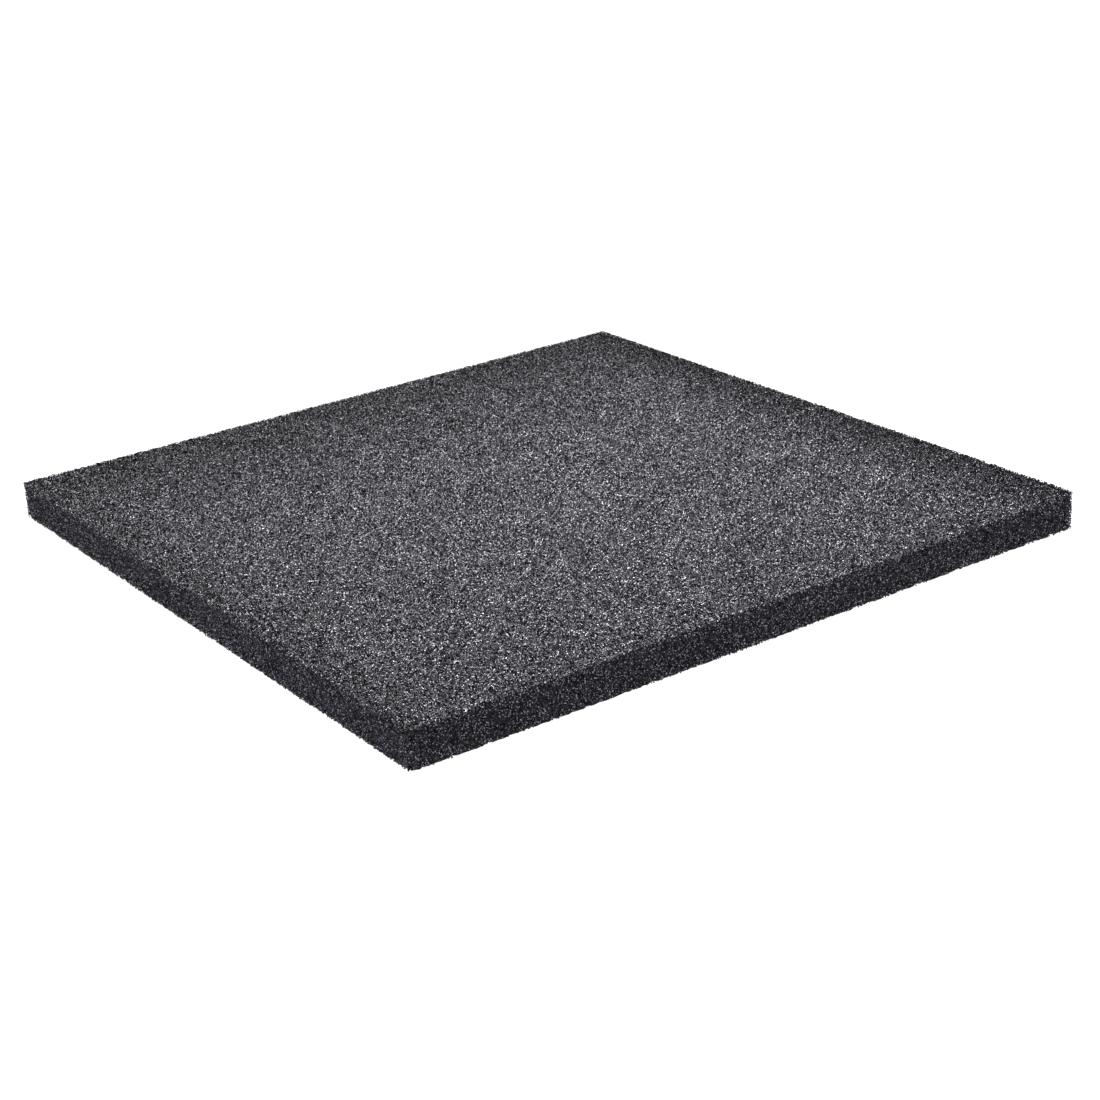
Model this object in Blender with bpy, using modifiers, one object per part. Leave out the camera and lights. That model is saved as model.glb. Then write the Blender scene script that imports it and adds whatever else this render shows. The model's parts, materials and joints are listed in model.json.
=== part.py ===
"""A square floor tile pressed from bonded rubber crumb.

The tile is one slab, lying flat. The origin is the centre of its underside, X and Y run along
its sides, and +Z points up out of its walking face.
"""

import math

import bmesh
import bpy

# Driving sizes, in metres
SIDE = 0.500
THICKNESS = 0.025

# The mould leaves the upright corners and the long edges slightly round
CORNER_RADIUS = 0.005
CORNER_SEGMENTS = 8
ARRIS_RADIUS = 0.0015
ARRIS_SEGMENTS = 3

# An edge that turns more sharply than this is a long edge, and not a step of a corner's round
ARRIS_LEAST_ANGLE = math.radians(60)
SMOOTH_ANGLE = math.radians(35)

CRUMB_COLOUR = (0.040, 0.039, 0.043, 1.0)
CRUMB_ROUGHNESS = 0.8


def clear_scene():
    """Removes whatever the open file holds."""
    for obj in list(bpy.data.objects):
        bpy.data.objects.remove(obj, do_unlink=True)


def make_collection(name):
    """A collection for the tile, in the scene."""
    collection = bpy.data.collections.new(name)
    bpy.context.scene.collection.children.link(collection)
    return collection


def crumb_material():
    """Charcoal rubber crumb in its binder."""
    material = bpy.data.materials.new("rubber_crumb")
    material.use_nodes = True
    shader = material.node_tree.nodes["Principled BSDF"]
    shader.inputs["Base Color"].default_value = CRUMB_COLOUR
    shader.inputs["Roughness"].default_value = CRUMB_ROUGHNESS
    shader.inputs["Metallic"].default_value = 0.0
    material.diffuse_color = CRUMB_COLOUR
    return material


def is_upright(edge):
    """True for an edge that runs from the underside to the walking face."""
    low, high = sorted(vertex.co.z for vertex in edge.verts)
    return high - low > THICKNESS / 2


def slab_mesh():
    """The slab with its four upright corners rounded, standing on Z = 0."""
    shape = bmesh.new()
    bmesh.ops.create_cube(shape, size=1.0)
    bmesh.ops.scale(shape, vec=(SIDE, SIDE, THICKNESS), verts=shape.verts)
    bmesh.ops.translate(shape, vec=(0.0, 0.0, THICKNESS / 2), verts=shape.verts)
    bmesh.ops.bevel(
        shape,
        geom=[edge for edge in shape.edges if is_upright(edge)],
        offset=CORNER_RADIUS,
        offset_type="OFFSET",
        segments=CORNER_SEGMENTS,
        profile=0.5,
        affect="EDGES",
    )
    mesh = bpy.data.meshes.new("rubber_tile")
    shape.to_mesh(mesh)
    shape.free()
    mesh.shade_smooth()
    mesh.set_sharp_from_angle(angle=SMOOTH_ANGLE)
    return mesh


def soften_long_edges(tile):
    """Rounds the edges round the walking face and round the underside."""
    arris = tile.modifiers.new("arris", "BEVEL")
    arris.width = ARRIS_RADIUS
    arris.segments = ARRIS_SEGMENTS
    arris.limit_method = "ANGLE"
    arris.angle_limit = ARRIS_LEAST_ANGLE


def make_tile(collection):
    """The whole tile: one pressed slab."""
    tile = bpy.data.objects.new("rubber_tile", slab_mesh())
    tile.data.materials.append(crumb_material())
    collection.objects.link(tile)
    soften_long_edges(tile)
    return tile


def main():
    clear_scene()
    make_tile(make_collection("rubber_floor_tile"))


main()
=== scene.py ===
"""The looks of a rubber floor tile: a slab of black crumb, pressed in a mould and bonded.

The slab carries thousands of loose-shaped grains. They are scattered just under its walking face
and its sides, and then pressed back into the mould's shape, as the press does with the real ones.
"""

import json
import math

import bmesh
import bpy
import numpy as np
from mathutils import Matrix, Vector

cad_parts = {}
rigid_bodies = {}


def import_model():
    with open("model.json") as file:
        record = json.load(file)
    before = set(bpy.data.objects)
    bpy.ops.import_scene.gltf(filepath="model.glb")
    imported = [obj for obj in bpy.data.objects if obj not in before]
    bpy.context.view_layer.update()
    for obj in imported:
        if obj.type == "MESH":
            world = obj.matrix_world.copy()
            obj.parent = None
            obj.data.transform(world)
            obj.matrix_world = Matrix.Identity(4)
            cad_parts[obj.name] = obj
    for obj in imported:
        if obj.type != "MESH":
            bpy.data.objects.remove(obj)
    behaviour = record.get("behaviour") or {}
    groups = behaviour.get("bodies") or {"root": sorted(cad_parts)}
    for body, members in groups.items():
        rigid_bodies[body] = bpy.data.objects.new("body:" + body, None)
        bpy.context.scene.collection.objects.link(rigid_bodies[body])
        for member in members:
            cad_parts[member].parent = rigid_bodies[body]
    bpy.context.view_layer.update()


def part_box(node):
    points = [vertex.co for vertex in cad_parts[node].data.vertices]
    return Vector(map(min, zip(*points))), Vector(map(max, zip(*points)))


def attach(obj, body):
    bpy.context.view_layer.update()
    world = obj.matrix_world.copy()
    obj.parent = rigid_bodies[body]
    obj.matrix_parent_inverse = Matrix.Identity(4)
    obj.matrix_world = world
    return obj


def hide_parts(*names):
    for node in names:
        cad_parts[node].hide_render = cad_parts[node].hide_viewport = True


bl_info = {
    "name": "Rubber Crumb Tile",
    "version": (1, 0, 0),
    "blender": (4, 5, 0),
    "location": "3D View > Sidebar > Rubber Tile",
    "description": "Dresses a pressed rubber floor tile with its crumb and stands it on a pale floor",
    "category": "Object",
}

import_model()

TILE_NODE = "rubber_tile"
TILE_BODY = "root"
TILE_LOW, TILE_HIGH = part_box(TILE_NODE)

# The number, from 0 to 1, that every grain carries for its own colour and gloss
TONE = "tone"
BAKE_MAP = "OFBake"

# A grain's points, and how far each may stray from its axis
GRAIN_POINTS = 6
GRAIN_JITTER = 0.55

# Most grain shapes are stretched only a little, but one in so many is a long flat shred
GRAIN_STRETCH = (0.8, 1.2)
SHRED_EVERY = 3
SHRED_LENGTH = (1.35, 1.8)
SHRED_WIDTH = (0.7, 0.9)
SHRED_THICKNESS = (0.45, 0.7)

# Places tried on a square as wide as the spacing, before those too near to another are dropped
TRIES = 4.0

# A power above 1, so that fine grains outnumber coarse ones
FINE_GRAIN_POWER = 1.5

# A grain's shape is chosen by one of this many numbers, far more than there are shapes
MANY_SHAPES = 9999

# The seed of each thing that varies from grain to grain
LIFT_DRAW, TURN_DRAW, SIZE_DRAW, SHAPE_DRAW, TONE_DRAW = range(11, 16)

# Grains keep this far off the floor, and the slab half as far
GRAIN_FLOOR_GAP = 0.0001
SLAB_FLOOR_GAP = 0.00005

# A height above the whole tile, and a length below any that matters
ABOVE_THE_TILE = 10.0
TINY_LENGTH = 1e-6

# The sides' grains start and end this many grain depths short of the underside and of the walking face
FOOT_DEPTHS = 1.4
HEAD_DEPTHS = 1.6
SIDE_SKIN_STEP = 0.001

# The underside's relief: how far its points stray, as a share of their spacing, and how rare deep pits are
PIT_JITTER = 0.38
PIT_RARITY = 2.5
SLAB_SEED = 3

# Where along a chip's shade, from 0 to 1, each colour of the rubber stands
SOOT_TO = 0.36
CHARCOAL_AT = 0.5
SCUFFED_AND_SHEEN_FROM = 0.64
SCUFFED_AND_SHEEN_TO = 0.95

# The share of a crack's width that is fully dark with painted crevice shade
CRACK_SHADE_CORE = 0.5

# Turns a grain's tone into a number that no longer follows it, for its gloss
GLOSS_SCRAMBLE = 37.0

# The bonded mass: its lumps, its finer skin, and how its lumps and its underside set its shade
MASS_LUMP = 0.003
MASS_SKIN = 0.0006
MASS_SKIN_DETAIL = 3.0
MASS_SKIN_STRENGTH = 0.6
MASS_SKIN_DEPTH = 0.0003
MASS_ROUGHNESS = 0.8
MASS_SHINE = 0.1
LUMP_SHADE = 0.6
UNDERSIDE_SHADE = 0.25
BINDER_TO = 0.25

# The upward part of a face's normal: below the first it is the underside, and above the second a side
UNDERSIDE_NORMAL = (-0.6, -0.3)

# The share of its cell of the map that a grain takes up
CELL_FILL = 0.7

FLOOR_ROUGHNESS = 0.9
FLOOR_SHINE = 0.1
KEY_LAMP_DISTANCE = 3.0
SENSOR_WIDTH = 36.0


class TileSizes(bpy.types.PropertyGroup):
    """The mould that the tile is pressed in, and the slab that holds its grains."""

    side: bpy.props.FloatProperty(
        name="Side",
        description="Length and width of the tile",
        default=TILE_HIGH.x - TILE_LOW.x,
        unit="LENGTH",
    )
    thickness: bpy.props.FloatProperty(
        name="Thickness",
        description="Height of the walking face above the floor",
        default=TILE_HIGH.z - TILE_LOW.z,
        unit="LENGTH",
    )
    corner_radius: bpy.props.FloatProperty(
        name="Corner radius",
        description="Radius of the upright corners, seen from above",
        default=0.005,
        unit="LENGTH",
    )
    arris_radius: bpy.props.FloatProperty(
        name="Arris radius",
        description="Radius of the edge round the walking face",
        default=0.0015,
        unit="LENGTH",
    )
    sunk: bpy.props.FloatProperty(
        name="Slab sunk",
        description="How far the slab's own faces lie behind the faces of the pressed grains",
        default=0.0011,
        unit="LENGTH",
    )
    foot_sunk: bpy.props.FloatProperty(
        name="Foot sunk",
        description="How far the slab's bottom edge lies behind the tile's sides",
        default=0.0004,
        unit="LENGTH",
    )
    foot_height: bpy.props.FloatProperty(
        name="Foot height",
        description="Height over which the slab draws in from its bottom edge",
        default=0.003,
        unit="LENGTH",
    )
    foot_unevenness: bpy.props.FloatProperty(
        name="Foot unevenness",
        description="How much further in or higher a point of the slab's bottom edge may lie",
        default=0.0012,
        unit="LENGTH",
    )
    pit_spacing: bpy.props.FloatProperty(
        name="Pit spacing",
        description="Distance between neighbouring points of the underside's relief",
        default=0.0026,
        unit="LENGTH",
    )
    pit_depth: bpy.props.FloatProperty(
        name="Pit depth",
        description="Depth of the deepest pits of the underside",
        default=0.0008,
        unit="LENGTH",
    )


class CrumbSizes(bpy.types.PropertyGroup):
    """The grains of crumb and how they lie."""

    grain_radius: bpy.props.FloatProperty(
        name="Grain radius",
        description="Half the width of a middling grain",
        default=0.00085,
        unit="LENGTH",
    )
    least_scale: bpy.props.FloatProperty(
        name="Least scale",
        description="The finest grains, as a share of a middling one",
        default=0.75,
    )
    most_scale: bpy.props.FloatProperty(
        name="Most scale",
        description="The coarsest grains, as a share of a middling one",
        default=1.3,
    )
    spacing: bpy.props.FloatProperty(
        name="Spacing",
        description="Least distance between the middles of two grains",
        default=0.00123,
        unit="LENGTH",
    )
    depth: bpy.props.FloatProperty(
        name="Depth",
        description="How far the middle of a grain lies behind the tile's face, on average",
        default=0.0005,
        unit="LENGTH",
    )
    depth_spread: bpy.props.FloatProperty(
        name="Depth spread",
        description="How much higher or lower than that a grain may lie",
        default=0.0004,
        unit="LENGTH",
    )
    spring_back: bpy.props.FloatProperty(
        name="Spring back",
        description="Share of what stood out of the mould that springs back once the mould opens",
        default=0.45,
        subtype="FACTOR",
    )
    shape_count: bpy.props.IntProperty(
        name="Shapes",
        description="Number of different grain shapes",
        default=18,
    )
    strips: bpy.props.IntProperty(
        name="Strips",
        description="Number of strips that the walking face is laid in",
        default=4,
    )
    seed: bpy.props.IntProperty(
        name="Seed",
        description="Start of every random choice",
        default=7,
    )


class CrumbColours(bpy.types.PropertyGroup):
    """The colours and the gloss of the rubber."""

    soot: bpy.props.FloatVectorProperty(
        name="Soot black",
        description="The darkest grains",
        default=(0.002, 0.002, 0.003, 1.0),
        size=4,
        subtype="COLOR",
    )
    charcoal: bpy.props.FloatVectorProperty(
        name="Charcoal",
        description="The middling grains",
        default=(0.0230, 0.0220, 0.0300, 1.0),
        size=4,
        subtype="COLOR",
    )
    # Paler grains: partly real scuffing, partly painted sheen that stands in for the rubber's gloss, whose
    # shine is kept low
    scuffed_and_sheen: bpy.props.FloatVectorProperty(
        name="Scuffed grey",
        description="Grains with a scuffed, paler skin",
        default=(0.276, 0.267, 0.303, 1.0),
        size=4,
        subtype="COLOR",
    )
    # The few pale chips: partly real pale specks, partly painted glints
    pale: bpy.props.FloatVectorProperty(
        name="Pale chip",
        description="The few pale chips",
        default=(0.9, 0.89, 0.91, 1.0),
        size=4,
        subtype="COLOR",
    )
    # Also the colour of the painted crevice shade in the cracks between chips
    binder: bpy.props.FloatVectorProperty(
        name="Binder",
        description="The bonded mass that shows in the pits",
        default=(0.001, 0.001, 0.001, 1.0),
        size=4,
        subtype="COLOR",
    )
    chip_size: bpy.props.FloatProperty(
        name="Chip size",
        description="Width of the torn chips that make up a grain's skin",
        default=0.0009,
        unit="LENGTH",
    )
    chip_tilt: bpy.props.FloatProperty(
        name="Chip tilt",
        description="How far a chip's face may lean from its grain's face",
        default=1.5,
    )
    # Painted shade: the cracks between chips are painted near black, as the shade of the crevices
    crack_shade_width: bpy.props.FloatProperty(
        name="Crack width",
        description="Width of the dark cracks between chips, as a share of a chip",
        default=0.185,
        subtype="FACTOR",
    )
    grain_share: bpy.props.FloatProperty(
        name="Grain share",
        description="How much of a chip's shade it shares with the rest of its grain",
        default=0.3,
        subtype="FACTOR",
    )
    patch_size: bpy.props.FloatProperty(
        name="Patch size",
        description="Width of the patches in which the crumb came out a little blacker or greyer",
        default=0.025,
        unit="LENGTH",
    )
    patchiness: bpy.props.FloatProperty(
        name="Patchiness",
        description="How far a patch's shade strays to either side",
        default=0.11,
        subtype="FACTOR",
    )
    least_rough: bpy.props.FloatProperty(
        name="Least roughness",
        description="Roughness of the glossiest grains",
        default=0.3,
        subtype="FACTOR",
    )
    most_rough: bpy.props.FloatProperty(
        name="Most roughness",
        description="Roughness of the dullest grains",
        default=0.72,
        subtype="FACTOR",
    )
    shine: bpy.props.FloatProperty(
        name="Shine",
        description="How strongly the grains reflect, where 0.5 is a smooth plastic",
        default=0.03,
        subtype="FACTOR",
    )
    # Painted rim shade: past its unshaded middle, the walking face's chips are painted darker towards its
    # rims, most towards +X and +Y
    unshaded_middle: bpy.props.FloatVectorProperty(
        name="Worn middle",
        description="Middle of the part of the walking face that is scuffed grey",
        default=(-0.0150, -0.0600, 0.0),
        size=3,
        subtype="TRANSLATION",
    )
    unshaded_reach: bpy.props.FloatVectorProperty(
        name="Worn reach",
        description="How far from its middle the face is fully scuffed, along X and Y",
        default=(0.1800, 0.0885, 0.0),
        size=3,
        subtype="TRANSLATION",
    )
    rim_shade_margin: bpy.props.FloatVectorProperty(
        name="Worn margin",
        description="Width of the margin over which the scuffing gives way to black, along X and Y",
        default=(0.058, 0.185, 1.0),
        size=3,
        subtype="TRANSLATION",
    )
    side_least: bpy.props.FloatProperty(
        name="Side least",
        description="Shade of the blackest chips of the sides, which are less scuffed",
        default=0.24,
        subtype="FACTOR",
    )
    side_most: bpy.props.FloatProperty(
        name="Side most",
        description="Shade of the palest chips of the sides",
        default=0.567,
        subtype="FACTOR",
    )
    side_evenness: bpy.props.FloatProperty(
        name="Side evenness",
        description="The chips of the sides that would be paler than this all have the palest shade",
        default=0.55,
        subtype="FACTOR",
    )
    # Painted rim shade: how much darker it paints the chips past the margin
    rim_shade_black: bpy.props.FloatProperty(
        name="Margin black",
        description="How much darker a chip's shade is past the margin",
        default=0.14,
        subtype="FACTOR",
    )


class StageView(bpy.types.PropertyGroup):
    """The camera, the floor and the light."""

    azimuth: bpy.props.FloatProperty(
        name="Azimuth",
        description="Turn of the camera round the tile, from looking along +Y",
        default=math.radians(-34.24),
        subtype="ANGLE",
    )
    elevation: bpy.props.FloatProperty(
        name="Elevation",
        description="Height of the camera over the floor, as an angle",
        default=math.radians(22.25),
        subtype="ANGLE",
    )
    roll: bpy.props.FloatProperty(
        name="Roll",
        description="Tilt of the camera round its own line of sight",
        default=math.radians(-3.33),
        subtype="ANGLE",
    )
    distance: bpy.props.FloatProperty(
        name="Distance",
        description="From the camera to the point it looks at",
        default=1.4245,
        unit="LENGTH",
    )
    aim: bpy.props.FloatVectorProperty(
        name="Aim",
        description="The point that the camera looks at",
        default=(-0.0183, -0.0501, 0.0),
        size=3,
        subtype="TRANSLATION",
    )
    lens: bpy.props.FloatProperty(
        name="Lens",
        description="Focal length on a sensor 36 mm wide",
        default=72.51,
        unit="CAMERA",
    )
    floor_size: bpy.props.FloatProperty(
        name="Floor size",
        description="Length and width of the floor",
        default=60.0,
        unit="LENGTH",
    )
    floor_colour: bpy.props.FloatVectorProperty(
        name="Floor colour",
        description="Colour of the plain floor",
        default=(0.05, 0.05, 0.05, 1.0),
        size=4,
        subtype="COLOR",
    )
    glow_colour: bpy.props.FloatVectorProperty(
        name="Glow colour",
        description="Colour of the light from the floor and the surroundings",
        default=(0.945, 0.945, 1.0, 1.0),
        size=4,
        subtype="COLOR",
    )
    floor_glow: bpy.props.FloatProperty(
        name="Floor glow",
        description="Light that the floor throws on the tile, as a light table does",
        default=2.7,
    )
    plain_white: bpy.props.FloatVectorProperty(
        name="Plain white",
        description="Colour of the floor and the surroundings, to look at",
        default=(1.0, 1.0, 1.0, 1.0),
        size=4,
        subtype="COLOR",
    )
    white_level: bpy.props.FloatProperty(
        name="White level",
        description="How bright the floor and the surroundings are, to look at",
        default=1.0,
    )
    fill_glow: bpy.props.FloatProperty(
        name="Fill glow",
        description="How brightly the surroundings light the tile from all round",
        default=0.6,
    )
    key_strength: bpy.props.FloatProperty(
        name="Key strength",
        description="Light of the main lamp on a surface that faces it",
        default=12.8,
    )
    key_softness: bpy.props.FloatProperty(
        name="Key softness",
        description="Width of the main lamp, as seen from the tile",
        default=math.radians(10),
        subtype="ANGLE",
    )
    key_elevation: bpy.props.FloatProperty(
        name="Key elevation",
        description="Height of the main lamp, as an angle",
        default=math.radians(35),
        subtype="ANGLE",
    )
    key_azimuth: bpy.props.FloatProperty(
        name="Key azimuth",
        description="Turn of the main lamp round the tile, from straight behind it as the camera sees it",
        default=math.radians(10),
        subtype="ANGLE",
    )
    top_power: bpy.props.FloatProperty(
        name="Top power",
        description="Power of the small soft lamp over the middle of the tile",
        default=11.8,
        unit="POWER",
    )
    top_size: bpy.props.FloatProperty(
        name="Top size",
        description="Width of the small soft lamp",
        default=0.35,
        unit="LENGTH",
    )
    top_place: bpy.props.FloatVectorProperty(
        name="Top place",
        description="Where the small soft lamp hangs, facing straight down",
        default=(0.06, -0.15, 0.5),
        size=3,
        subtype="TRANSLATION",
    )
    left_power: bpy.props.FloatProperty(
        name="Left power",
        description="Power of the soft lamp that lights the left side",
        default=50.0,
        unit="POWER",
    )
    left_place: bpy.props.FloatVectorProperty(
        name="Left place",
        description="Where the lamp for the left side stands",
        default=(-1.6, -0.5, 0.6),
        size=3,
        subtype="TRANSLATION",
    )
    right_power: bpy.props.FloatProperty(
        name="Right power",
        description="Power of the soft lamp that lights the right side",
        default=22.0,
        unit="POWER",
    )
    right_place: bpy.props.FloatVectorProperty(
        name="Right place",
        description="Where the lamp for the right side stands",
        default=(0.4, -1.7, 0.6),
        size=3,
        subtype="TRANSLATION",
    )
    side_lamp_size: bpy.props.FloatProperty(
        name="Side lamp size",
        description="Width of the two soft lamps for the sides",
        default=0.8,
        unit="LENGTH",
    )


def scene_settings(context):
    """The four groups of settings: tile, crumb, colours and stage."""
    scene = context.scene
    sizes, crumb = scene.rubber_tile_sizes, scene.rubber_crumb_sizes
    return sizes, crumb, scene.rubber_crumb_colours, scene.rubber_tile_stage


# Node helpers


def add_node(tree, kind, inputs=None, **properties):
    """Adds a node, sets its properties, and then sets or links its inputs by name or number."""
    node = tree.nodes.new(kind)
    for name, value in properties.items():
        setattr(node, name, value)
    for key, value in (inputs or {}).items():
        socket = find_input(node, key)
        if isinstance(value, bpy.types.NodeSocket):
            tree.links.new(value, socket)
        else:
            socket.default_value = value
    return node


def find_input(node, key):
    """The input with that number, or the first usable one with that name."""
    if isinstance(key, int):
        return node.inputs[key]
    return next(socket for socket in node.inputs if socket.name == key and socket.enabled)


def usable_output(node):
    """The node's first output in use."""
    return next(socket for socket in node.outputs if socket.enabled)


def maths(tree, operation, *values):
    """A Math node's result."""
    return add_node(tree, "ShaderNodeMath", dict(enumerate(values)), operation=operation).outputs[0]


def vector_maths(tree, operation, *values):
    """A Vector Math node's result, which is a number for LENGTH."""
    node = add_node(tree, "ShaderNodeVectorMath", dict(enumerate(values)), operation=operation)
    return usable_output(node)


def vector_scaled(tree, vector, scale):
    """A vector made longer or shorter."""
    inputs = {"Vector": vector, "Scale": scale}
    return add_node(tree, "ShaderNodeVectorMath", inputs, operation="SCALE").outputs[0]


def random_number(tree, low, high, seed, kind="FLOAT"):
    """A random value for each point or grain."""
    inputs = {"Min": low, "Max": high, "Seed": seed}
    return usable_output(add_node(tree, "FunctionNodeRandomValue", inputs, data_type=kind))


def new_geometry_tree(name, inputs):
    """A geometry tree with a Geometry input and output, and the named inputs given as (name, kind)."""
    tree = bpy.data.node_groups.new(name, "GeometryNodeTree")
    interface = tree.interface
    interface.new_socket("Geometry", in_out="INPUT", socket_type="NodeSocketGeometry")
    for label, kind in inputs:
        interface.new_socket(label, in_out="INPUT", socket_type=kind)
    interface.new_socket("Geometry", in_out="OUTPUT", socket_type="NodeSocketGeometry")
    return tree


def set_modifier_inputs(modifier, values):
    """Sets a Geometry Nodes modifier's inputs, found by name and set by identifier."""
    identifiers = {
        item.name: item.identifier
        for item in modifier.node_group.interface.items_tree
        if item.item_type == "SOCKET" and item.in_out == "INPUT"
    }
    for label, value in values.items():
        modifier[identifiers[label]] = value


# Grain shapes


def grain_mesh(rng, name, stretch):
    """One angular grain: the hull of six points, two near each axis, which has eight faces."""
    shape = bmesh.new()
    for axis in range(3):
        for side in (-1.0, 1.0):
            point = Vector(rng.uniform(-GRAIN_JITTER, GRAIN_JITTER, 3))
            point[axis] += side
            point.normalize()
            shape.verts.new((point.x * stretch[0], point.y * stretch[1], point.z * stretch[2]))
    bmesh.ops.convex_hull(shape, input=list(shape.verts))
    bmesh.ops.recalc_face_normals(shape, faces=list(shape.faces))
    mesh = bpy.data.meshes.new(name)
    shape.to_mesh(mesh)
    shape.free()
    return mesh


def grain_shapes(crumb):
    """A collection of grain shapes, each about one unit in radius."""
    rng = np.random.default_rng(crumb.seed)
    shapes = bpy.data.collections.new("grain shapes")
    for number in range(crumb.shape_count):
        if (number + 1) % SHRED_EVERY == 0:
            stretch = [rng.uniform(*reach) for reach in (SHRED_LENGTH, SHRED_WIDTH, SHRED_THICKNESS)]
        else:
            stretch = rng.uniform(*GRAIN_STRETCH, 3)
        mesh = grain_mesh(rng, f"grain_{number:02d}", stretch)
        shapes.objects.link(bpy.data.objects.new(mesh.name, mesh))
    return shapes


def remove_shapes(shapes):
    """Removes the grain shapes once the pieces are made."""
    for piece in list(shapes.objects):
        mesh = piece.data
        bpy.data.objects.remove(piece)
        bpy.data.meshes.remove(mesh)
    bpy.data.collections.remove(shapes)


# Geometry trees


def press_into_mould(tree, position, mould):
    """Where a point ends after the press: a point outside the mould is pushed back nearly to its wall."""
    half_side, radius, top = mould["Half Side"], mould["Corner Radius"], mould["Top"]
    arris, spring = mould["Arris Radius"], mould["Spring Back"]
    size = vector_maths(tree, "ABSOLUTE", position)
    turn = vector_maths(tree, "SIGN", position)
    core = maths(tree, "SUBTRACT", half_side, radius)
    core_corner = add_node(tree, "ShaderNodeCombineXYZ", {"X": core, "Y": core, "Z": ABOVE_THE_TILE})
    inside = vector_maths(tree, "MINIMUM", size, core_corner.outputs[0])
    beyond = vector_maths(tree, "SUBTRACT", size, inside)
    reach = vector_maths(tree, "LENGTH", beyond)
    height = add_node(tree, "ShaderNodeSeparateXYZ", {"Vector": position}).outputs["Z"]

    # The mould's wall meets its roof in a small round, so both are measured from the middle of it
    wall = maths(tree, "SUBTRACT", radius, arris)
    roof = maths(tree, "SUBTRACT", top, arris)
    out = maths(tree, "MAXIMUM", maths(tree, "SUBTRACT", reach, wall), 0.0)
    up = maths(tree, "MAXIMUM", maths(tree, "SUBTRACT", height, roof), 0.0)
    squared = maths(tree, "MULTIPLY_ADD", out, out, maths(tree, "MULTIPLY", up, up))
    away = maths(tree, "SQRT", squared)
    excess = maths(tree, "MAXIMUM", maths(tree, "SUBTRACT", away, arris), 0.0)
    kept = maths(tree, "MULTIPLY_ADD", excess, spring, maths(tree, "MINIMUM", away, arris))
    share = maths(tree, "DIVIDE", kept, maths(tree, "MAXIMUM", away, TINY_LENGTH))
    new_reach = maths(tree, "MULTIPLY_ADD", out, share, maths(tree, "MINIMUM", reach, wall))
    new_height = maths(tree, "MULTIPLY_ADD", up, share, maths(tree, "MINIMUM", height, roof))

    drawn_in = maths(tree, "DIVIDE", new_reach, maths(tree, "MAXIMUM", reach, TINY_LENGTH))
    drawn = vector_scaled(tree, beyond, drawn_in)
    plan = vector_maths(tree, "MULTIPLY", vector_maths(tree, "ADD", inside, drawn), turn)
    parts = add_node(tree, "ShaderNodeSeparateXYZ", {"Vector": plan})
    resting = maths(tree, "MAXIMUM", new_height, GRAIN_FLOOR_GAP)
    joined = {"X": parts.outputs["X"], "Y": parts.outputs["Y"], "Z": resting}
    return add_node(tree, "ShaderNodeCombineXYZ", joined).outputs[0]


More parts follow.
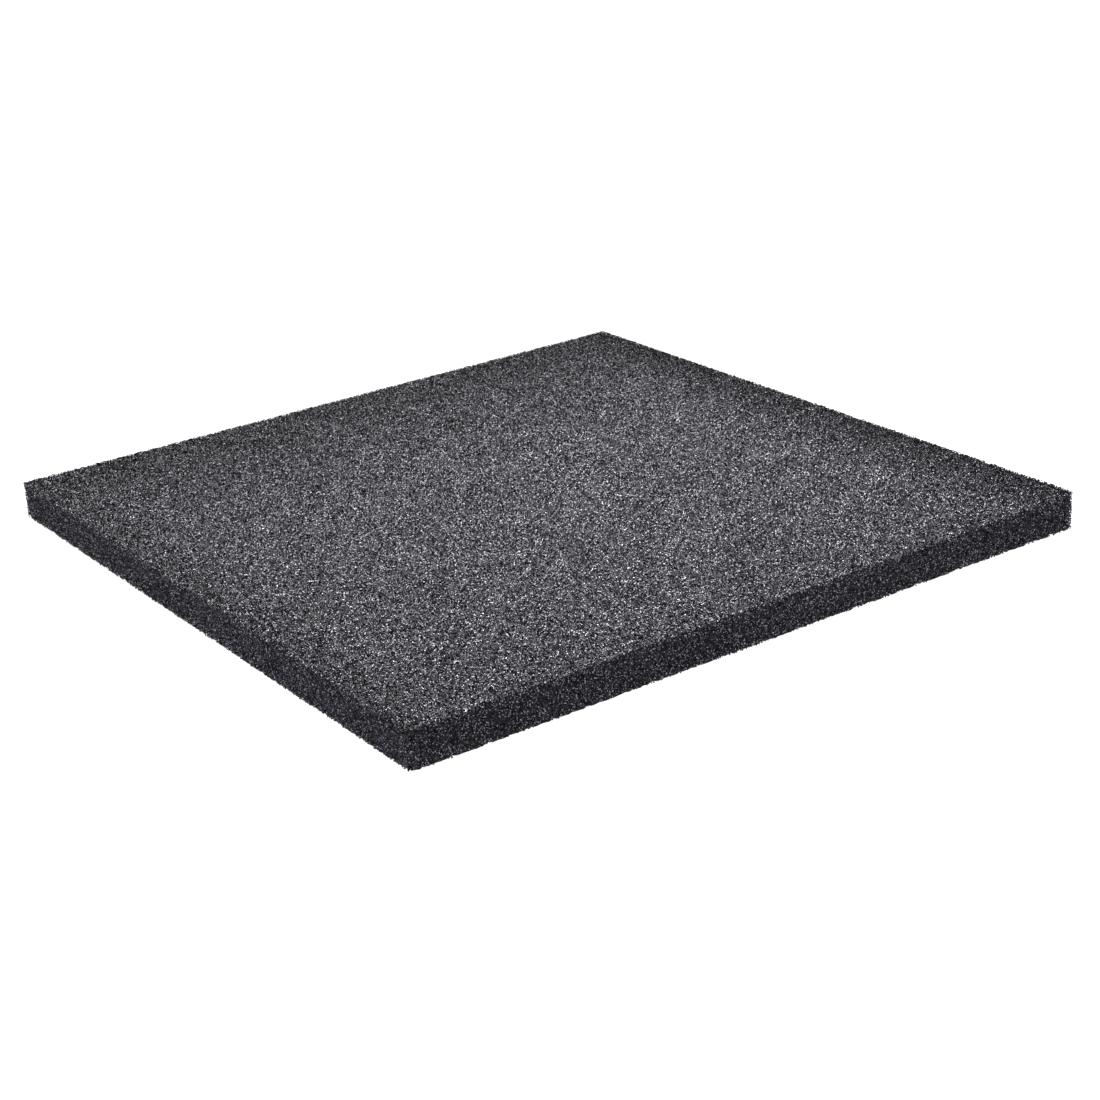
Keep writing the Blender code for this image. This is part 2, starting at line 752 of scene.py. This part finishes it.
def crumb_tree():
    """Scatters grains on a skin, keeps those in one strip, and presses them into the mould."""
    tree = new_geometry_tree(
        "pressed crumb",
        [
            ("Shapes", "NodeSocketCollection"),
            ("Spacing", "NodeSocketFloat"),
            ("Grain Radius", "NodeSocketFloat"),
            ("Least Scale", "NodeSocketFloat"),
            ("Most Scale", "NodeSocketFloat"),
            ("Depth Spread", "NodeSocketFloat"),
            ("Half Side", "NodeSocketFloat"),
            ("Corner Radius", "NodeSocketFloat"),
            ("Arris Radius", "NodeSocketFloat"),
            ("Top", "NodeSocketFloat"),
            ("Spring Back", "NodeSocketFloat"),
            ("Strip Start", "NodeSocketFloat"),
            ("Strip End", "NodeSocketFloat"),
            ("Seed", "NodeSocketInt"),
            ("Material", "NodeSocketMaterial"),
        ],
    )
    given = tree.nodes.new("NodeGroupInput").outputs

    square = maths(tree, "MULTIPLY", given["Spacing"], given["Spacing"])
    density = maths(tree, "DIVIDE", TRIES, square)
    scattered = add_node(tree, "GeometryNodeDistributePointsOnFaces", distribute_method="POISSON")
    for label, source in (
        ("Mesh", given["Geometry"]),
        ("Distance Min", given["Spacing"]),
        ("Density Max", density),
        ("Seed", given["Seed"]),
    ):
        tree.links.new(source, find_input(scattered, label))

    place = tree.nodes.new("GeometryNodeInputPosition").outputs[0]
    across = add_node(tree, "ShaderNodeSeparateXYZ", {"Vector": place}).outputs["X"]
    after_start = maths(tree, "GREATER_THAN", across, given["Strip Start"])
    before_end = maths(tree, "LESS_THAN", across, given["Strip End"])
    in_strip = maths(tree, "MULTIPLY", after_start, before_end)
    strip = add_node(
        tree,
        "GeometryNodeSeparateGeometry",
        {"Geometry": scattered.outputs["Points"], "Selection": in_strip},
        domain="POINT",
    )

    lowest = maths(tree, "MULTIPLY", given["Depth Spread"], -1.0)
    rise = random_number(tree, lowest, given["Depth Spread"], LIFT_DRAW)
    lift = vector_scaled(tree, scattered.outputs["Normal"], rise)
    raised = {"Geometry": strip.outputs["Selection"], "Offset": lift}
    lifted = add_node(tree, "GeometryNodeSetPosition", raised)

    shapes = add_node(
        tree,
        "GeometryNodeCollectionInfo",
        {"Collection": given["Shapes"], "Separate Children": True, "Reset Children": True},
    )
    full_turns = (2 * math.pi,) * 3
    turned = random_number(tree, (0.0, 0.0, 0.0), full_turns, TURN_DRAW, "FLOAT_VECTOR")
    chance = maths(tree, "POWER", random_number(tree, 0.0, 1.0, SIZE_DRAW), FINE_GRAIN_POWER)
    spread = maths(tree, "SUBTRACT", given["Most Scale"], given["Least Scale"])
    grown = maths(tree, "MULTIPLY_ADD", chance, spread, given["Least Scale"])
    radius = maths(tree, "MULTIPLY", grown, given["Grain Radius"])
    grains = add_node(
        tree,
        "GeometryNodeInstanceOnPoints",
        {
            "Points": lifted.outputs[0],
            "Instance": shapes.outputs[0],
            "Pick Instance": True,
            "Instance Index": random_number(tree, 0, MANY_SHAPES, SHAPE_DRAW, "INT"),
            "Rotation": turned,
            "Scale": radius,
        },
    )
    toned = add_node(
        tree,
        "GeometryNodeStoreNamedAttribute",
        {"Geometry": grains.outputs[0], "Name": TONE, "Value": random_number(tree, 0.0, 1.0, TONE_DRAW)},
        data_type="FLOAT",
        domain="INSTANCE",
    )
    real = add_node(tree, "GeometryNodeRealizeInstances", {"Geometry": toned.outputs[0]})
    pressed = press_into_mould(tree, place, given)
    moulded = add_node(tree, "GeometryNodeSetPosition", {"Geometry": real.outputs[0], "Position": pressed})
    painted = add_node(
        tree,
        "GeometryNodeSetMaterial",
        {"Geometry": moulded.outputs[0], "Material": given["Material"]},
    )
    result = tree.nodes.new("NodeGroupOutput")
    tree.links.new(painted.outputs[0], result.inputs[0])
    return tree


# Materials


def new_material(name):
    """A material with its shader and its object coordinates."""
    material = bpy.data.materials.new(name)
    material.use_nodes = True
    tree = material.node_tree
    shader = tree.nodes["Principled BSDF"]
    place = tree.nodes.new("ShaderNodeTexCoord").outputs["Object"]
    return material, tree, shader, place


def noise(tree, place, grain_size, detail=2.0):
    """Soft noise from 0 to 1 whose lumps are about grain_size across."""
    inputs = {"Vector": place, "Scale": 1.0 / grain_size, "Detail": detail}
    return add_node(tree, "ShaderNodeTexNoise", inputs).outputs["Fac"]


def colour_steps(tree, value, steps):
    """Blends colours along a value, as (place, colour) steps."""
    ramp = add_node(tree, "ShaderNodeValToRGB", {"Fac": value})
    elements = ramp.color_ramp.elements
    while len(elements) < len(steps):
        elements.new(1.0)
    for element, (at, colour) in zip(elements, steps):
        element.position = at
        element.color = colour
    return ramp.outputs["Color"]


def remap(tree, value, from_low, from_high, to_low, to_high):
    """Stretches a value from one range to another."""
    inputs = {0: value, 1: from_low, 2: from_high, 3: to_low, 4: to_high}
    return add_node(tree, "ShaderNodeMapRange", inputs).outputs[0]


def chipped_skin(tree, place, chip_size, tilt, crack_shade_width):
    """A skin of small chips: its tilted normal, a number from 0 to 1 for each chip, and its cracks, which
    carry painted shade of the crevices between chips.
    """
    cells = {"Vector": place, "Scale": 1.0 / chip_size}
    colour = add_node(tree, "ShaderNodeTexVoronoi", cells).outputs["Color"]
    edges = add_node(tree, "ShaderNodeTexVoronoi", cells, feature="DISTANCE_TO_EDGE")
    lean = vector_maths(tree, "SUBTRACT", colour, (0.5, 0.5, 0.5))
    flat = tree.nodes.new("ShaderNodeNewGeometry").outputs["Normal"]
    leaning = vector_maths(tree, "ADD", flat, vector_scaled(tree, lean, tilt))
    normal = vector_maths(tree, "NORMALIZE", leaning)
    number = add_node(tree, "ShaderNodeSeparateColor", {"Color": colour}).outputs["Red"]
    crack_shade = remap(tree, edges.outputs["Distance"], crack_shade_width * CRACK_SHADE_CORE, crack_shade_width, 1.0, 0.0)
    return normal, number, crack_shade


def painted_rim_shade(tree, place, colours):
    """Painted rim shade: 0 over the walking face's unshaded middle, rising over its margin to 1 and a
    little more.
    """
    apart = vector_maths(tree, "SUBTRACT", place, tuple(colours.unshaded_middle))
    distance = vector_maths(tree, "ABSOLUTE", apart)
    beyond = vector_maths(tree, "SUBTRACT", distance, tuple(colours.unshaded_reach))
    share = vector_maths(tree, "DIVIDE", beyond, tuple(colours.rim_shade_margin))
    parts = add_node(tree, "ShaderNodeSeparateXYZ", {"Vector": share})
    most = maths(tree, "MAXIMUM", parts.outputs["X"], parts.outputs["Y"])
    reached = maths(tree, "MAXIMUM", most, 0.0)
    return maths(tree, "MULTIPLY", reached, reached)


def crumb_material(name, colours, walked_on):
    """Rubber grains, each with its own tone and gloss, and a fine torn skin.

    The walking face has painted shade past its middle, darker towards its rims, and the sides' chips keep
    to a narrower range that stops short of the face's palest.
    """
    material, tree, shader, place = new_material(name)
    tone = add_node(tree, "ShaderNodeAttribute", attribute_name=TONE).outputs["Fac"]
    size, tilt = colours.chip_size, colours.chip_tilt
    normal, number, crack_shade = chipped_skin(tree, place, size, tilt, colours.crack_shade_width)
    own = maths(tree, "MULTIPLY", number, 1.0 - colours.grain_share)
    shade = maths(tree, "MULTIPLY_ADD", tone, colours.grain_share, own)
    patch = noise(tree, place, colours.patch_size)
    stray = remap(tree, patch, 0.0, 1.0, -colours.patchiness, colours.patchiness)
    shade = maths(tree, "ADD", shade, stray)
    if walked_on:
        # Painted rim shade: the walking face's chips are darkened from its middle out towards its rims
        shaded_rim = painted_rim_shade(tree, place, colours)
        shade = maths(tree, "SUBTRACT", shade, maths(tree, "MULTIPLY", shaded_rim, colours.rim_shade_black))
    else:
        even = colours.side_evenness
        shade = remap(tree, shade, 0.0, even, colours.side_least, colours.side_most)
    steps = [
        (0.0, colours.soot),
        (SOOT_TO, colours.soot),
        (CHARCOAL_AT, colours.charcoal),
        (SCUFFED_AND_SHEEN_FROM, colours.scuffed_and_sheen),
        (SCUFFED_AND_SHEEN_TO, colours.scuffed_and_sheen),
        (1.0, colours.pale),
    ]
    skin_colour = colour_steps(tree, shade, steps)
    # Painted shade: the cracks between chips take the binder's near-black colour, as the crevices' shade
    crack_shaded = add_node(
        tree,
        "ShaderNodeMix",
        {"Factor": crack_shade, "A": skin_colour, "B": colours.binder},
        data_type="RGBA",
    )
    tree.links.new(usable_output(crack_shaded), shader.inputs["Base Color"])
    gloss = maths(tree, "FRACT", maths(tree, "MULTIPLY", tone, GLOSS_SCRAMBLE))
    rough = remap(tree, gloss, 0.0, 1.0, colours.least_rough, colours.most_rough)
    tree.links.new(maths(tree, "MAXIMUM", rough, crack_shade), shader.inputs["Roughness"])
    tree.links.new(normal, shader.inputs["Normal"])
    shader.inputs["Specular IOR Level"].default_value = colours.shine
    return material


def binder_material(colours):
    """The dark bonded mass behind the grains, and the plain underside."""
    material, tree, shader, place = new_material("bonded crumb")
    lump = maths(tree, "MULTIPLY", noise(tree, place, MASS_LUMP), LUMP_SHADE)
    facing = tree.nodes.new("ShaderNodeNewGeometry").outputs["Normal"]
    upward = add_node(tree, "ShaderNodeSeparateXYZ", {"Vector": facing}).outputs["Z"]
    under = remap(tree, upward, *UNDERSIDE_NORMAL, 1.0, 0.0)
    shade = maths(tree, "MULTIPLY_ADD", under, UNDERSIDE_SHADE, lump)
    steps = [(BINDER_TO, colours.binder), (CHARCOAL_AT, colours.charcoal), (1.0, colours.scuffed_and_sheen)]
    tree.links.new(colour_steps(tree, shade, steps), shader.inputs["Base Color"])
    shader.inputs["Roughness"].default_value = MASS_ROUGHNESS
    shader.inputs["Specular IOR Level"].default_value = MASS_SHINE
    skin = noise(tree, place, MASS_SKIN, MASS_SKIN_DETAIL)
    relief = {"Height": skin, "Strength": MASS_SKIN_STRENGTH, "Distance": MASS_SKIN_DEPTH}
    tree.links.new(add_node(tree, "ShaderNodeBump", relief).outputs[0], shader.inputs["Normal"])
    return material


# Meshes


def rounded_square(points, half_side, radius):
    """Pulls points of a square's plan that lie outside its rounded corners onto them."""
    size = np.abs(points)
    inside = np.minimum(size, half_side - radius)
    beyond = size - inside
    reach = np.linalg.norm(beyond, axis=1, keepdims=True)
    share = np.minimum(reach, radius) / np.maximum(reach, TINY_LENGTH)
    return np.sign(points) * (inside + beyond * share)


def square_outline(half_side, radius, step):
    """Points round the plan of the tile, anticlockwise, about one step apart."""
    count = int(round(2 * half_side / step))
    run = np.linspace(-half_side, half_side, count + 1)[:-1]
    edge = np.full(count, half_side)
    plan = np.concatenate(
        [
            np.stack([run, -edge], 1),
            np.stack([edge, run], 1),
            np.stack([-run, edge], 1),
            np.stack([-edge, -run], 1),
        ]
    )
    return rounded_square(plan, half_side, radius)


def slab_mesh(tile):
    """The slab: a pitted underside with an uneven edge, and plain sides and top that the grains cover."""
    half = tile.side / 2 - tile.foot_sunk
    count = int(round(2 * half / tile.pit_spacing))
    rng = np.random.default_rng(SLAB_SEED)
    line = np.linspace(-half, half, count + 1)
    grid = np.stack(np.meshgrid(line, line), -1).reshape(-1, 2)
    index = np.arange(len(grid)).reshape(count + 1, count + 1)
    inner = np.zeros(index.shape, bool)
    inner[1:-1, 1:-1] = True
    inner = inner.ravel()
    jitter = rng.uniform(-PIT_JITTER, PIT_JITTER, grid.shape) * (2 * half / count)
    grid[inner] += jitter[inner]
    grid = rounded_square(grid, half, tile.corner_radius - tile.foot_sunk)
    rim = np.concatenate([index[0, :-1], index[:-1, -1], index[-1, :0:-1], index[:0:-1, 0]])
    outline_at_rim = grid[rim].copy()
    pits = rng.uniform(0.0, 1.0, len(grid)) ** PIT_RARITY
    drawn_in = rng.uniform(0.0, tile.foot_unevenness / half, (len(grid), 1))
    grid *= 1.0 - np.where(inner[:, None], 0.0, drawn_in)
    height = pits * np.where(inner, tile.pit_depth, tile.foot_unevenness) + SLAB_FLOOR_GAP
    bottom = np.column_stack([grid, height])

    rings = []
    drawn_in_rim = outline_at_rim * (tile.side / 2 - tile.sunk) / half
    for level in (tile.foot_height, tile.thickness - tile.sunk):
        rings.append(np.column_stack([drawn_in_rim, np.full(len(rim), level)]))
    middle = np.array([[0.0, 0.0, tile.thickness - tile.sunk]])
    points = np.concatenate([bottom, *rings, middle])

    low_left, low_right = index[:-1, :-1].ravel(), index[:-1, 1:].ravel()
    up_left, up_right = index[1:, :-1].ravel(), index[1:, 1:].ravel()
    flip = rng.random(len(low_left)) < 0.5
    first = np.stack([low_left, up_left, np.where(flip, up_right, low_right)], 1)
    second = np.stack([np.where(flip, low_left, up_left), up_right, low_right], 1)
    faces = np.concatenate([first, second]).tolist()
    around = np.arange(len(rim))
    after = np.roll(around, -1)
    waist = len(bottom)
    start = waist + len(rim)
    faces += np.stack([rim[around], rim[after], waist + after, waist + around], 1).tolist()
    faces += np.stack([waist + around, waist + after, start + after, start + around], 1).tolist()
    centre = len(points) - 1
    faces += np.stack([start + around, start + after, np.full(len(rim), centre)], 1).tolist()

    mesh = bpy.data.meshes.new("tile_slab")
    mesh.from_pydata(points.tolist(), [], faces)
    mesh.update()
    return mesh


def top_skin(tile, crumb):
    """The square that the walking face's grains are scattered on."""
    half = tile.side / 2 - crumb.depth
    level = tile.thickness - crumb.depth
    mesh = bpy.data.meshes.new("top skin")
    corners = [(-half, -half, level), (half, -half, level), (half, half, level), (-half, half, level)]
    mesh.from_pydata(corners, [], [(0, 1, 2, 3)])
    return mesh


def side_skin(tile, crumb):
    """The upright band that the sides' grains are scattered on."""
    depth = crumb.depth
    outline = square_outline(tile.side / 2 - depth, tile.corner_radius - depth, SIDE_SKIN_STEP)
    count = len(outline)
    levels = (FOOT_DEPTHS * depth, tile.thickness - HEAD_DEPTHS * depth)
    points = [(x, y, level) for level in levels for x, y in outline.tolist()]
    faces = [(i, (i + 1) % count, count + (i + 1) % count, count + i) for i in range(count)]
    mesh = bpy.data.meshes.new("side skin")
    mesh.from_pydata(points, [], faces)
    return mesh


def crumb_mesh(name, skin, tree, values):
    """Runs the crumb tree on a skin and returns the grains as a plain mesh."""
    carrier = bpy.data.objects.new(name + " skin", skin)
    bpy.context.scene.collection.objects.link(carrier)
    modifier = carrier.modifiers.new("pressed crumb", "NODES")
    modifier.node_group = tree
    set_modifier_inputs(modifier, values)
    graph = bpy.context.evaluated_depsgraph_get()
    mesh = bpy.data.meshes.new_from_object(carrier.evaluated_get(graph), depsgraph=graph)
    mesh.name = name
    bpy.data.objects.remove(carrier)
    bpy.data.meshes.remove(skin)
    return mesh


def add_grain_cells(mesh):
    """Gives every grain its own cell of a map, so that its colours can be kept as a picture."""
    count = len(mesh.vertices) // GRAIN_POINTS
    across = math.ceil(math.sqrt(count))
    places = np.empty(len(mesh.vertices) * 3, np.float32)
    mesh.vertices.foreach_get("co", places)
    places = places.reshape(count, GRAIN_POINTS, 3)
    low = places.min(1, keepdims=True)
    span = np.maximum((places.max(1, keepdims=True) - low).max(2, keepdims=True), TINY_LENGTH)
    inside = ((places - low) / span) * CELL_FILL + (1.0 - CELL_FILL) / 2
    cell = np.arange(count)
    corner = np.stack([cell % across, cell // across], 1)[:, None]
    flat = ((inside[:, :, :2] + corner) / across).reshape(-1, 2)
    loops = np.empty(len(mesh.loops), np.int32)
    mesh.loops.foreach_get("vertex_index", loops)
    layer = mesh.uv_layers.new(name=BAKE_MAP)
    layer.uv.foreach_set("vector", flat[loops].astype(np.float32).ravel())


# Pieces


def add_piece(name, mesh):
    """Puts a finished mesh in the scene, riding on the tile's body."""
    piece = bpy.data.objects.new(name, mesh)
    bpy.context.scene.collection.objects.link(piece)
    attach(piece, TILE_BODY)
    return piece


def crumb_values(tile, crumb, shapes, material):
    """The crumb tree's inputs, all but the strip."""
    return {
        "Shapes": shapes,
        "Spacing": crumb.spacing,
        "Grain Radius": crumb.grain_radius,
        "Least Scale": crumb.least_scale,
        "Most Scale": crumb.most_scale,
        "Depth Spread": crumb.depth_spread,
        "Half Side": tile.side / 2,
        "Corner Radius": tile.corner_radius,
        "Arris Radius": tile.arris_radius,
        "Top": tile.thickness,
        "Spring Back": crumb.spring_back,
        "Seed": crumb.seed,
        "Material": material,
    }


class PressSlab(bpy.types.Operator):
    """Makes the slab that holds the grains, with its plain underside"""

    bl_idname = "rubber_tile.press_slab"
    bl_label = "Press Slab"

    def execute(self, context):
        tile, _, colours, _ = scene_settings(context)
        mesh = slab_mesh(tile)
        mesh.materials.append(binder_material(colours))
        piece = add_piece("tile_slab", mesh)
        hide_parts(TILE_NODE)
        return {"FINISHED"}


class LayTopCrumb(bpy.types.Operator):
    """Lays the grains of the walking face, strip by strip"""

    bl_idname = "rubber_tile.lay_top_crumb"
    bl_label = "Lay Top Crumb"

    def execute(self, context):
        tile, crumb, colours, _ = scene_settings(context)
        shapes = grain_shapes(crumb)
        tree = crumb_tree()
        material = crumb_material("walking face crumb", colours, walked_on=True)
        edges = np.linspace(-tile.side / 2, tile.side / 2, crumb.strips + 1).tolist()
        for number in range(crumb.strips):
            values = crumb_values(tile, crumb, shapes, material)
            values |= {"Strip Start": edges[number], "Strip End": edges[number + 1]}
            name = f"crumb_top_{number + 1}"
            mesh = crumb_mesh(name, top_skin(tile, crumb), tree, values)
            add_grain_cells(mesh)
            add_piece(name, mesh)
        remove_shapes(shapes)
        return {"FINISHED"}


class LaySideCrumb(bpy.types.Operator):
    """Lays the grains of the four sides"""

    bl_idname = "rubber_tile.lay_side_crumb"
    bl_label = "Lay Side Crumb"

    def execute(self, context):
        tile, crumb, colours, _ = scene_settings(context)
        shapes = grain_shapes(crumb)
        material = crumb_material("side crumb", colours, walked_on=False)
        values = crumb_values(tile, crumb, shapes, material)
        values |= {"Strip Start": -tile.side, "Strip End": tile.side}
        mesh = crumb_mesh("crumb_sides", side_skin(tile, crumb), crumb_tree(), values)
        add_grain_cells(mesh)
        add_piece("crumb_sides", mesh)
        remove_shapes(shapes)
        return {"FINISHED"}


# Stage


def studio_glow(tree, stage, lighting):
    """Colour and strength of a glow that looks plain white, and lights the tile as strongly as asked."""
    looked_at = tree.nodes.new("ShaderNodeLightPath").outputs["Is Camera Ray"]
    colours = {"Factor": looked_at, "A": stage.glow_colour, "B": stage.plain_white}
    colour = usable_output(add_node(tree, "ShaderNodeMix", colours, data_type="RGBA"))
    return colour, remap(tree, looked_at, 0.0, 1.0, lighting, stage.white_level)


def add_floor(stage):
    """A plain pale floor."""
    half = stage.floor_size / 2
    mesh = bpy.data.meshes.new("floor")
    corners = [(-half, -half, 0.0), (half, -half, 0.0), (half, half, 0.0), (-half, half, 0.0)]
    mesh.from_pydata(corners, [], [(0, 1, 2, 3)])
    material, tree, shader, _ = new_material("pale floor")
    shader.inputs["Base Color"].default_value = stage.floor_colour
    shader.inputs["Roughness"].default_value = FLOOR_ROUGHNESS
    shader.inputs["Specular IOR Level"].default_value = FLOOR_SHINE
    colour, strength = studio_glow(tree, stage, stage.floor_glow)
    tree.links.new(colour, shader.inputs["Emission Color"])
    tree.links.new(strength, shader.inputs["Emission Strength"])
    mesh.materials.append(material)
    floor = bpy.data.objects.new("floor", mesh)
    bpy.context.scene.collection.objects.link(floor)


def direction(azimuth, elevation):
    """The way of +Y, turned by azimuth round +Z and raised by elevation."""
    return Vector(
        (
            -math.sin(azimuth) * math.cos(elevation),
            math.cos(azimuth) * math.cos(elevation),
            math.sin(elevation),
        )
    )


def add_key_lamp(stage):
    """The main lamp: far behind the tile, and as strong everywhere on it."""
    lamp = bpy.data.lights.new("key lamp", "SUN")
    lamp.energy = stage.key_strength
    lamp.angle = stage.key_softness
    holder = bpy.data.objects.new("key lamp", lamp)
    towards = direction(stage.azimuth + stage.key_azimuth, stage.key_elevation)
    holder.location = towards * KEY_LAMP_DISTANCE
    holder.rotation_euler = towards.to_track_quat("Z", "Y").to_euler()
    bpy.context.scene.collection.objects.link(holder)


def add_soft_lamp(name, place, aim, size, power):
    """A square soft lamp that faces the point it is aimed at."""
    lamp = bpy.data.lights.new(name, "AREA")
    lamp.size = size
    lamp.energy = power
    holder = bpy.data.objects.new(name, lamp)
    holder.location = place
    holder.rotation_euler = (place - aim).to_track_quat("Z", "Y").to_euler()
    bpy.context.scene.collection.objects.link(holder)


def add_surroundings(stage):
    """Surroundings that look as pale as the floor, and light the tile dimly from all round."""
    world = bpy.data.worlds.new("studio")
    world.use_nodes = True
    tree = world.node_tree
    colour, strength = studio_glow(tree, stage, stage.fill_glow)
    background = tree.nodes["Background"]
    tree.links.new(colour, background.inputs["Color"])
    tree.links.new(strength, background.inputs["Strength"])
    bpy.context.scene.world = world


def add_camera(stage):
    """The camera, at the photograph's angle."""
    azimuth, elevation, roll = stage.azimuth, stage.elevation, stage.roll
    back = Vector(
        (
            math.sin(azimuth) * math.cos(elevation),
            -math.cos(azimuth) * math.cos(elevation),
            math.sin(elevation),
        )
    )
    level_right = Vector((math.cos(azimuth), math.sin(azimuth), 0.0))
    level_up = back.cross(level_right)
    right = level_right * math.cos(roll) + level_up * math.sin(roll)
    up = level_up * math.cos(roll) - level_right * math.sin(roll)
    lens = bpy.data.cameras.new("camera")
    lens.sensor_width = SENSOR_WIDTH
    lens.lens = stage.lens
    camera = bpy.data.objects.new("camera", lens)
    turn = Matrix((right, up, back)).transposed().to_4x4()
    camera.matrix_world = Matrix.Translation(Vector(stage.aim) + back * stage.distance) @ turn
    bpy.context.scene.collection.objects.link(camera)
    bpy.context.scene.camera = camera


class SetStage(bpy.types.Operator):
    """Sets the floor, the light and the camera"""

    bl_idname = "rubber_tile.set_stage"
    bl_label = "Set Stage"

    def execute(self, context):
        *_, stage = scene_settings(context)
        add_floor(stage)
        add_surroundings(stage)
        add_key_lamp(stage)
        above, left, right = Vector(stage.top_place), Vector(stage.left_place), Vector(stage.right_place)
        below = Vector((above.x, above.y, 0.0))
        middle = Vector((0.0, 0.0, 0.0))
        add_soft_lamp("top lamp", above, below, stage.top_size, stage.top_power)
        add_soft_lamp("left lamp", left, middle, stage.side_lamp_size, stage.left_power)
        add_soft_lamp("right lamp", right, middle, stage.side_lamp_size, stage.right_power)
        add_camera(stage)
        context.scene.view_settings.view_transform = "Standard"
        return {"FINISHED"}


# Panel and registration


class RubberTilePanel(bpy.types.Panel):
    """The tile's pieces, in the order in which they are made"""

    bl_idname = "VIEW3D_PT_rubber_tile"
    bl_label = "Rubber Tile"
    bl_space_type = "VIEW_3D"
    bl_region_type = "UI"
    bl_category = "Rubber Tile"

    def draw(self, context):
        for settings in scene_settings(context):
            for name in settings.__annotations__:
                self.layout.prop(settings, name)
        for operator in OPERATORS:
            self.layout.operator(operator.bl_idname)


SETTINGS = {
    "rubber_tile_sizes": TileSizes,
    "rubber_crumb_sizes": CrumbSizes,
    "rubber_crumb_colours": CrumbColours,
    "rubber_tile_stage": StageView,
}
OPERATORS = (SetStage, PressSlab, LayTopCrumb, LaySideCrumb)


def register():
    for group in SETTINGS.values():
        bpy.utils.register_class(group)
    for operator in OPERATORS:
        bpy.utils.register_class(operator)
    bpy.utils.register_class(RubberTilePanel)
    for name, group in SETTINGS.items():
        setattr(bpy.types.Scene, name, bpy.props.PointerProperty(type=group))


def unregister():
    for name in SETTINGS:
        delattr(bpy.types.Scene, name)
    bpy.utils.unregister_class(RubberTilePanel)
    for operator in reversed(OPERATORS):
        bpy.utils.unregister_class(operator)
    for group in reversed(SETTINGS.values()):
        bpy.utils.unregister_class(group)


def main():
    """Makes the stage and every piece."""
    register()
    bpy.ops.rubber_tile.set_stage()
    bpy.ops.rubber_tile.press_slab()
    bpy.ops.rubber_tile.lay_top_crumb()
    bpy.ops.rubber_tile.lay_side_crumb()


if __name__ == "__main__":
    main()
